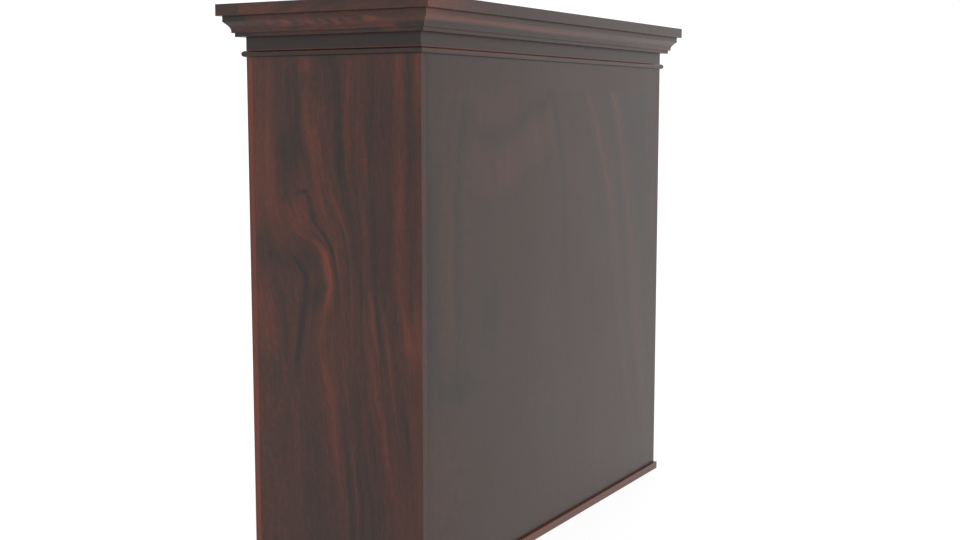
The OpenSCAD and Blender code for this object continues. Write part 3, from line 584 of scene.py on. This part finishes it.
# ---------------------------------------------------------------- materials
def new_material(name):
    """A material with a Principled shader; returns both."""
    material = bpy.data.materials.new(name)
    material.use_nodes = True
    tree = material.node_tree
    tree.nodes.clear()
    output = add_node(tree, "ShaderNodeOutputMaterial")
    shader = add_node(tree, "ShaderNodeBsdfPrincipled")
    fill(output, {"Surface": Signal(shader.outputs[0])})
    return material, shader


def object_mm(shader):
    """The object's x, y and z in mm."""
    coordinates = add_node(shader.id_data, "ShaderNodeTexCoord").outputs["Object"]
    return [axis * MM for axis in split(Signal(coordinates))]


def finish(shader, colour, roughness, height, depth):
    """Sets colour and roughness, and a bump of depth mm."""
    bump = add_node(shader.id_data, "ShaderNodeBump",
                    {"Strength": 1.0, "Distance": depth / MM, "Height": height})
    fill(shader, {"Base Color": colour, "Roughness": roughness, "Normal": Signal(bump.outputs[0])})


def finish_lacquered(shader, colour, roughness, height, depth=0.045):
    finish(shader, colour, roughness, height, depth)
    fill(shader, {"IOR": 1.5, "Specular IOR Level": 0.36})


def finish_wood(shader, wood):
    finish_lacquered(shader, wood["Color"], wood["Roughness"], wood["Height"])


def side_material(name, sign, seed):
    """Figured veneer on the outer face; plain straight grain on the inner
    face and on the board's edges. sign is 1 for the left side (-X), -1 for the right."""
    material, shader = new_material(name)
    x, y, z = object_mm(shader)
    drawn = apply(SIDE_FIGURE, s=HALF_DEPTH - y, z=z + FIGURE_LIFT)
    outer = (x * -sign + -SIDE_X) > -0.45
    finish_wood(shader, apply(
        WOOD,
        P=mix_vectors(outer, combine(y, x, z), combine(drawn["t"], 0.0, z)),
        Seed=seed,
        Tone=lerp(outer, -0.06, 0.03),
        Contrast=lerp(outer, 0.8, 0.66),
        Warmth=outer * 0.15,
        Figure=drawn["Figure"] * outer))
    return material


def front_material(name, seed):
    """Figured veneer on the hall face, with a plainer leaf above it; plain
    grain on the face inside the cupboards."""
    material, shader = new_material(name)
    x, y, z = object_mm(shader)
    drawn = apply(FRONT_FIGURE, x=x, z=z + FIGURE_LIFT)
    outer = y < 0.45 - HALF_DEPTH
    head = drawn["Head"] * outer
    figured = outer * (1.0 - head)
    # the head leaf is cut 811 mm further along the noise
    plain = combine(mul_add(head, 811.0, x), y * (1.0 - outer), z)
    wood = apply(
        WOOD,
        P=mix_vectors(figured, plain, combine(drawn["t"], 0.0, z)),
        Seed=seed,
        Tone=lerp(head, lerp(outer, -0.06, -0.095), -0.075),
        Contrast=lerp(outer, 0.8, lerp(head, 0.32, 0.24)),
        Warmth=lerp(outer, 0.0, -1.15),
        Figure=drawn["Figure"] * figured)
    seam = z.bell(HEAD_SEAM, 0.45) * outer * x.remap(-190.0, -60.0)
    finish_lacquered(shader, mix(seam * 0.35, wood["Color"], (0.012, 0.006, 0.004)),
                     wood["Roughness"], wood["Height"] - seam)
    return material


def slab_material(name):
    """The slab: a veneered field inside 62 mm lippings. The rear lipping
    runs right through, so its end grain shows at both ends."""
    material, shader = new_material(name)
    x, y, z = object_mm(shader)
    rear = y.remap(REAR_JOINT - 0.2, REAR_JOINT + 0.2)
    from_front = y + SLAB_FRONT
    from_end = SLAB_HALF_LENGTH - abs(x)
    inside = calc("MINIMUM", from_front, from_end)
    field = (inside.remap(LIPPING - 0.2, LIPPING + 0.2)
             * y.remap(REAR_JOINT, REAR_JOINT - 0.4))
    end = (from_front > from_end) * (1.0 - field) * (1.0 - rear)

    field_wood = apply(WOOD, P=combine(y, z, x), Seed=41.0, Tone=0.02, Contrast=1.0, Warmth=0.05)
    # the long lippings grow paler towards the left end
    fade = x.remap(-400.0, -640.0) * 0.62
    long_wood = apply(WOOD, P=combine(y + z * 1.0, z, x * 0.5), Seed=43.0, Tone=-0.15 + fade,
                      Contrast=0.30, Warmth=0.05)
    lean = noise((mul_add(z, 2.5, y), 55), 2.0, (z, 26))
    end_wood = apply(WOOD, P=combine(x + z * 1.0, z, y), Seed=47.0,
                     Tone=0.06 + (lean - 0.5) * 0.9 + y.bell(165.0, 45.0) * 0.14,
                     Contrast=0.6, Warmth=0.25)
    colour = mix(field, long_wood["Color"], field_wood["Color"])
    colour = mix(end, colour, end_wood["Color"])

    # end grain of the rear lipping
    geometry = add_node(shader.id_data, "ShaderNodeNewGeometry")
    normal_x = split(Signal(geometry.outputs["True Normal"]))[0]
    end_grain = rear * (abs(normal_x) > 0.7)
    speck = noise((y, 0.9), (z, 1.6), 0.0, rough=0.6)
    colour = mix(end_grain, colour, ramp(speck, [(0.2, (0.016, 0.0080, 0.0058)),
                                                 (0.8, (0.036, 0.0155, 0.0100))]))

    # glue lines between the lippings and the field, and on the mitres
    glue = calc("MAXIMUM", inside.bell(LIPPING, 0.35), y.bell(REAR_JOINT, 0.35))
    mitre = (from_front - from_end).bell(0.0, 0.4) * inside.remap(LIPPING, LIPPING - 0.1)
    # always 1: at a nonzero factor it would switch the glue lines off on the rear lipping
    shown = (rear * 0.0 + 0.0) < 0.5
    glue = calc("MAXIMUM", glue * shown, mitre)
    height = lerp(field, long_wood["Height"], field_wood["Height"])
    finish_lacquered(shader, mix(glue * 0.55, colour, (0.012, 0.007, 0.006)),
                     field_wood["Roughness"] + -0.04,
                     lerp(end, height, end_wood["Height"]) - glue, depth=0.02)
    return material


def metal_material(name, colour, tarnish, roughness):
    material, shader = new_material(name)
    x, y, z = object_mm(shader)
    patina = noise((x, 9), (y, 9), (z, 9), detail=3.0, rough=0.6).remap(0.42, 0.72)
    fine = noise((x, 0.5), (y, 0.5), (z, 4.0), rough=0.6)
    fill(shader, {"Metallic": 1.0})
    finish(shader, mix(patina * 0.6, colour, tarnish),
           roughness + patina * 0.14 + (fine - 0.5) * 0.16, height=fine, depth=0.01)
    return material


def plastic_material(name):
    material, shader = new_material(name)
    x, y, z = object_mm(shader)
    grain = noise((x, 0.35), (y, 0.35), (z, 0.35), rough=0.6)
    cloud = noise((x, 11), (y, 11), (z, 11))
    finish(shader, ramp(cloud, [(0.2, (0.012, 0.012, 0.012)), (0.8, (0.024, 0.023, 0.022))]),
           0.42 + (grain - 0.5) * 0.2, height=grain, depth=0.03)
    return material


def grain_axes(shader, order):
    """The coordinates across, through and along the grain. order names their axes."""
    axes = dict(zip("xyz", object_mm(shader)))
    return [axes[letter] for letter in order]


def bare_material(name, order, shade=1.0):
    """Unfinished hardwood, for the battens, blocks and dowels. shade below 1
    is a coat of stain."""
    material, shader = new_material(name)
    across, through, along = grain_axes(shader, order)
    rings = noise((across, 5), (through, 5), (along, 160), detail=3.0, rough=0.6)
    fibre = noise((across, 0.6), (through, 0.6), (along, 14), rough=0.6)
    value = rings + (fibre - 0.5) * 0.4
    stops = [(0.2, (0.24, 0.13, 0.06)), (0.5, (0.36, 0.21, 0.11)), (0.85, (0.47, 0.30, 0.17))]
    stained = [(place, tuple(part * shade for part in colour)) for place, colour in stops]
    finish(shader, ramp(value, stained), 0.62 + (fibre - 0.5) * 0.15, height=value, depth=0.08)
    return material


def give(node, material):
    materials = nodes[node].data.materials
    materials.clear()
    materials.append(material)


def board(name, order, seed, tone, contrast, warmth=0.0, gloss=0.0, zones=None):
    """Gives a part its own lacquered board. order names the axes across, through and
    along the grain. zones is a function of x, y and z that brightens or darkens."""
    material, shader = new_material(name)
    axes = object_mm(shader)
    point = combine(*[axes["xyz".index(letter)] for letter in order])
    figure = zones(*axes) * 0.17 if zones else 0.0
    finish_wood(shader, apply(WOOD, P=point, Seed=seed, Tone=tone, Contrast=contrast,
                              Warmth=warmth, Gloss=gloss, Figure=figure))
    give(name, material)


# ---------------------------------------------------------------- zones of single boards
# Patches of the left cornice: (y, z, half width, half height, strength)
CORNICE_FLAMES = [
    (129, 1179.5, 8, 4.5, 1.8), (104, 1172, 14, 5, 1), (88, 1179, 8, 5, 2.2),
    (66, 1178, 8, 6, -1.6), (50, 1180, 7, 4, 0.9), (30, 1177, 9, 6, 1.9),
    (8, 1178, 4.5, 7, -1.5), (-6, 1176, 5, 6, 0.9), (-18, 1178, 4.5, 7, -1.6),
    (-34, 1176, 8, 6, 2.2), (-50, 1177, 5, 6, -1.2), (-70, 1179, 7, 5, 1.5),
    (-92, 1177, 8, 6, -0.9), (-121, 1179.4, 19, 4.6, 3.8), (-152, 1177, 16, 5, 1.1),
    (80, 1167.5, 34, 2.4, -2.4), (5, 1165.5, 30, 1.8, -1), (-62, 1167, 42, 2, -1.1),
    (-108, 1157, 13, 3, -2.2), (-152, 1157, 28, 3, 1.6), (62, 1157, 18, 3, 1.5),
    (150, 1172, 20, 5, -0.6)]


def cornice_left_zones(x, y, z):
    """The left cornice's dark ends, the flames that cross its cove, and painted shade along its
    foot.
    """
    cove = z.remap(1161.0, 1164.0) * z.remap(1184.0, 1181.5)
    rear_top = y.remap(188.0, 192.0) * z.remap(1181.0, 1184.5) * -2.4
    rear_cove = y.remap(140.0, 185.0) * z.bell(1174.0, 9.0) * -1.0
    rear_foot = y.remap(150.0, 200.0) * z.remap(1161.0, 1160.0) * -1.6
    front_foot = y.remap(-168.0, -184.0) * z.bell(1166.0, 5.5) * -3.6
    stir = noise((y, 8), 3.0, (z, 9), rough=0.6)
    leaning_y = y + (z - 1176.0) * -0.7 + (stir - 0.5) * 14.0
    stirred_z = z + (stir - 0.5) * -4.0
    flames = add_spots(leaning_y, stirred_z, CORNICE_FLAMES)
    pale_cove = y.remap(160.0, 110.0) * cove * 0.35
    # painted shade: darkens the cornice's foot, in the crease over the frieze
    painted_shade_at_foot = z.remap(1161.0, 1160.2) * -0.8
    top = y.remap(192.0, 188.0) * z.remap(1182.0, 1184.5) * 0.4
    return rear_top + rear_cove + rear_foot + front_foot + flames + pale_cove + painted_shade_at_foot + top


def cornice_front_zones(x, y, z):
    """A reddish streak along the top of the front cove, dark below it."""
    warp = (noise((x, 260), 4.0, (z, 40)) - 0.5) * 7.0
    height = z + warp + x.remap(-600.0, 200.0) * 3.0
    streak = height.bell(1178.5, 4.2) * x.remap(260.0, -250.0, 0.15, 1.0) * 3.6
    under = height.bell(1170.5, 3.4) * x.remap(250.0, -200.0) * -2.0
    low = height.bell(1166.5, 3.5) * x.remap(300.0, 560.0, -0.6, 3.0)
    left_end = x.remap(-560.0, -640.0) * 1.6
    top = x.remap(-150.0, -480.0) * z.remap(1181.0, 1184.0) * 1.3
    return streak + under + low + left_end + top


def frieze_foot_painted_light(x, y, z):
    """Painted light: the frieze's foot, just above the bead, is painted as a paler red line that
    lifts the shade in the crease over the bead.
    """
    # painted light: brightens the foot to lift the shade in the crease over the bead
    return z.remap(1127.0, 1125.0, 0.0, 4.5)


def bead_front_painted_shade_and_highlight(x, y, z):
    """Painted shade at the foot, where shadow falls under the bead, and a painted highlight, a
    little paler, on its lit top.
    """
    # painted shade at the foot, painted highlight at the top
    return z.remap(1113.0, 1117.5, -2.6, 0.7)


def bead_left_painted_shade(x, y, z):
    """Painted shade: darker at the foot, where shadow falls under the bead."""
    # painted shade under the bead
    return z.remap(1117.0, 1113.0, 0.0, -1.3)


def left_stile_zones(x, y, z):
    """The stile's edge, in the side's plane, is the paler sapwood side."""
    return x.remap(-598.6, -599.2, 0.0, 1.45)


def base_zones(x, y, z):
    """Soft clouds, and a slightly darker line at z = 9."""
    cloud = noise((x, 220), (y, 220), 2.0, detail=1.0)
    return (cloud - 0.5) * 3.0 + z.bell(9.0, 3.0) * -0.5


# ---------------------------------------------------------------- who wears what
give("left_side", side_material("veneer_left_side", 1, seed=2.0))
give("right_side", side_material("veneer_right_side", -1, seed=9.0))
give("front_panel", front_material("veneer_front", seed=5.0))
give("top_slab", slab_material("slab"))

board("base_board", "yzx", 11, tone=0.38, contrast=0.5, warmth=-0.3, zones=base_zones)
board("frieze_front", "zyx", 12, tone=-0.22, contrast=0.30, zones=frieze_foot_painted_light)
board("frieze_rear", "zyx", 13, tone=-0.22, contrast=0.30)
board("frieze_left", "zxy", 14, tone=-0.31, contrast=0.20, zones=frieze_foot_painted_light)
board("frieze_right", "zxy", 15, tone=-0.36, contrast=0.22)
board("bead_front", "zyx", 16, tone=0.02, contrast=0.9, warmth=0.1, zones=bead_front_painted_shade_and_highlight)
board("bead_rear", "zyx", 17, tone=0.0, contrast=0.8, warmth=0.1)
board("bead_left", "zxy", 18, tone=-0.14, contrast=0.7, warmth=-0.3, zones=bead_left_painted_shade)
board("bead_right", "zxy", 19, tone=-0.10, contrast=0.8)
board("cornice_front", "zyx", 20, tone=-0.10, contrast=0.7, zones=cornice_front_zones)
board("cornice_rear", "zyx", 21, tone=-0.05, contrast=1.0)
board("cornice_left", "zxy", 22, tone=0.03, contrast=0.85, warmth=0.25, zones=cornice_left_zones)
board("cornice_right", "zxy", 23, tone=-0.04, contrast=1.0)
board("rear_left_stile", "xyz", 24, tone=0.21, contrast=0.6, warmth=0.6, zones=left_stile_zones)
board("rear_right_stile", "xyz", 25, tone=0.22, contrast=0.7)
board("rear_top_rail", "zyx", 26, tone=0.16, contrast=0.75)
board("rear_mid_rail", "zyx", 27, tone=0.14, contrast=0.75)
board("rear_bottom_rail", "zyx", 28, tone=0.16, contrast=0.75)
for number, side in enumerate(("left", "right")):
    seed = 30 + 7 * number
    board(f"{side}_door_hinge_stile", "xyz", seed, tone=0.12, contrast=0.8)
    board(f"{side}_door_lock_stile", "xyz", seed + 1, tone=0.10, contrast=0.8)
    board(f"{side}_door_top_rail", "zyx", seed + 2, tone=0.09, contrast=0.8)
    board(f"{side}_door_bottom_rail", "zyx", seed + 3, tone=0.12, contrast=0.8)
    board(f"{side}_door_panel", "xyz", seed + 4, tone=0.0, contrast=1.25)
    board(f"{side}_adjustable_shelf", "yzx", 50 + number, tone=0.10, contrast=0.7, gloss=-0.05)
board("centre_divider", "yxz", 53, tone=0.08, contrast=0.7, gloss=-0.05)
board("fixed_shelf", "yzx", 54, tone=0.08, contrast=0.75, gloss=-0.03)

brass = metal_material("satin_brass", colour=(0.60, 0.41, 0.17), tarnish=(0.30, 0.18, 0.07),
                       roughness=0.30)
steel = metal_material("zinc_plated_steel", colour=(0.50, 0.50, 0.50),
                       tarnish=(0.34, 0.33, 0.30), roughness=0.36)
black = plastic_material("black_plastic")
FITTINGS = [
    (brass, ("left_hinge_frame_leaves", "right_hinge_frame_leaves", "left_hinge_door_leaves",
             "right_hinge_door_leaves", "left_hinge_pins", "right_hinge_pins",
             "hinge_frame_screws", "left_hinge_door_screws", "right_hinge_door_screws",
             "left_knob", "right_knob", "shelf_pins")),
    (steel, ("slab_screws", "base_screws", "left_knob_screw", "right_knob_screw",
             "catch_screws", "left_strike_plate", "right_strike_plate")),
    (black, ("magnetic_catches", "glides"))]
for material, names in FITTINGS:
    for name in names:
        give(name, material)
give("top_battens", bare_material("bare_battens", "zxy", shade=0.7))
give("glue_blocks", bare_material("bare_blocks", "zyx", shade=0.32))
give("dowels", bare_material("bare_dowels", "xyz"))


# ---------------------------------------------------------------- edges
def geometry_tree(name):
    """A geometry tree; returns it, its incoming geometry and its output node."""
    tree = bpy.data.node_groups.new(name, "GeometryNodeTree")
    for way in ("INPUT", "OUTPUT"):
        tree.interface.new_socket("Geometry", in_out=way, socket_type="NodeSocketGeometry")
    incoming = Signal(add_node(tree, "NodeGroupInput").outputs[0])
    return tree, incoming, add_node(tree, "NodeGroupOutput")


def edge_sharper_than(tree, degrees):
    angle = Signal(add_node(tree, "GeometryNodeInputMeshEdgeAngle").outputs[0])
    return angle > math.radians(degrees)


def weld_tree():
    """Joins coincident vertices and drops the imported normals."""
    tree, incoming, output = geometry_tree("weld")
    weld = add_node(tree, "GeometryNodeMergeByDistance", {"Geometry": incoming, "Distance": 2e-6})
    bare = add_node(tree, "GeometryNodeRemoveAttribute",
                    {"Geometry": Signal(weld.outputs[0]), "Name": "custom_normal"})
    fill(output, {0: Signal(bare.outputs[0])})
    return tree


def weight_tree(shortest):
    """Marks the sharp edges longer than shortest for the bevel, so that the
    rims of holes and the ends of mouldings stay as they are."""
    tree, incoming, output = geometry_tree(f"bevel_marks_{int(shortest * 1e4)}")
    ends = add_node(tree, "GeometryNodeInputMeshEdgeVertices").outputs
    length = add_node(tree, "ShaderNodeVectorMath",
                      {0: Signal(ends["Position 1"]), 1: Signal(ends["Position 2"])},
                      operation="DISTANCE")
    weight = edge_sharper_than(tree, 28) * (Signal(length.outputs["Value"]) > shortest)
    store = add_node(tree, "GeometryNodeStoreNamedAttribute",
                     {"Geometry": incoming, "Name": "bevel_weight_edge", "Value": weight},
                     data_type="FLOAT", domain="EDGE")
    fill(output, {0: Signal(store.outputs[0])})
    return tree


def smooth_tree(limit):
    """Shades smooth, but for edges sharper than limit degrees."""
    tree, incoming, output = geometry_tree(f"smooth_{int(limit)}")
    faces = add_node(tree, "GeometryNodeSetShadeSmooth",
                     {"Geometry": incoming, "Shade Smooth": True}, domain="FACE")
    edges = add_node(tree, "GeometryNodeSetShadeSmooth",
                     {"Geometry": Signal(faces.outputs[0]),
                      "Selection": edge_sharper_than(tree, limit), "Shade Smooth": False},
                     domain="EDGE")
    fill(output, {0: Signal(edges.outputs[0])})
    return tree


WELD = weld_tree()
MARK_LONG = weight_tree(0.006)
MARK_SHORT = weight_tree(0.0012)
SMOOTH = smooth_tree(34.0)

# Bevel widths in mm; parts that match no pattern keep their edges
BEVEL_WIDTHS = {
    "frieze_*": 0.25, "bead_*": 0.25, "cornice_*": 0.4, "rear_*": 0.35,
    "*_door_panel": 0.3, "*_door_*_stile": 0.8, "*_door_*_rail": 0.8,
    "*_shelf": 0.8, "centre_divider": 0.8, "base_board": 1.2, "top_slab": 0.6,
    "front_panel": 0.25, "left_side": 0.35, "right_side": 0.35,
    "*_leaves": 0.25, "magnetic_catches": 0.25, "*_strike_plate": 0.25,
    "top_battens": 0.6, "glue_blocks": 0.6}
SMALL_PARTS = ("leaves", "catches", "strike_plate")


def nodes_modifier(part, tree):
    part.modifiers.new(tree.name, "NODES").node_group = tree


def ease(part, width, marks):
    """Eases a CAD part's sharp edges with modifiers; its mesh stays as it is."""
    nodes_modifier(part, WELD)
    flatten = part.modifiers.new("flatten", "DECIMATE")
    flatten.decimate_type = "DISSOLVE"
    flatten.angle_limit = math.radians(0.4)
    if width:
        nodes_modifier(part, marks)
        bevel = part.modifiers.new("eased_edges", "BEVEL")
        bevel.width = width / MM
        bevel.segments = 2
        bevel.limit_method = "WEIGHT"
        bevel.offset_type = "OFFSET"
        bevel.use_clamp_overlap = False
        bevel.loop_slide = False
        bevel.miter_outer = "MITER_SHARP"
    nodes_modifier(part, SMOOTH)
    weighted = part.modifiers.new("weighted", "WEIGHTED_NORMAL")
    weighted.keep_sharp = True
    weighted.weight = 80


for name, part in nodes.items():
    width = next((size for pattern, size in BEVEL_WIDTHS.items() if fnmatch(name, pattern)), 0)
    ease(part, width, MARK_SHORT if name.endswith(SMALL_PARTS) else MARK_LONG)


# ---------------------------------------------------------------- stage
def make_floor(reach=30.0):
    """A pale, faintly glowing square floor at z = 0, reaching this far each way."""
    mesh = bpy.data.meshes.new("floor")
    corners = [(-reach, -reach, 0), (reach, -reach, 0), (reach, reach, 0), (-reach, reach, 0)]
    mesh.from_pydata(corners, [], [(0, 1, 2, 3)])
    floor = bpy.data.objects.new("floor", mesh)
    scene.collection.objects.link(floor)
    material, shader = new_material("pale_floor")
    fill(shader, {
        "Base Color": (0.22, 0.22, 0.22, 1),
        "Emission Color": (1, 1, 1, 1),
        "Emission Strength": 0.835,
        "Roughness": 0.85,
        "Specular IOR Level": 0.2})
    mesh.materials.append(material)


def make_world():
    """Even white light from all round."""
    world = bpy.data.worlds.new("studio")
    scene.world = world
    world.use_nodes = True
    fill(world.node_tree.nodes["Background"], {"Color": (1, 1, 1, 1), "Strength": 1.12})


def make_camera():
    """Looks from the front left, slightly down."""
    lens = bpy.data.cameras.new("camera")
    lens.lens = 50
    lens.sensor_width = 36
    camera = bpy.data.objects.new("camera", lens)
    scene.collection.objects.link(camera)
    camera.location = (-2.807, -1.6315, 1.0001)
    direction = Vector((0.8587, 0.4985, -0.1189))
    camera.rotation_euler = direction.to_track_quat("-Z", "Y").to_euler()
    scene.camera = camera


make_floor()
make_world()
scene.view_settings.view_transform = "Standard"
scene.view_settings.look = "None"
scene.view_settings.exposure = 0.0
scene.view_settings.gamma = 1.0
make_camera()
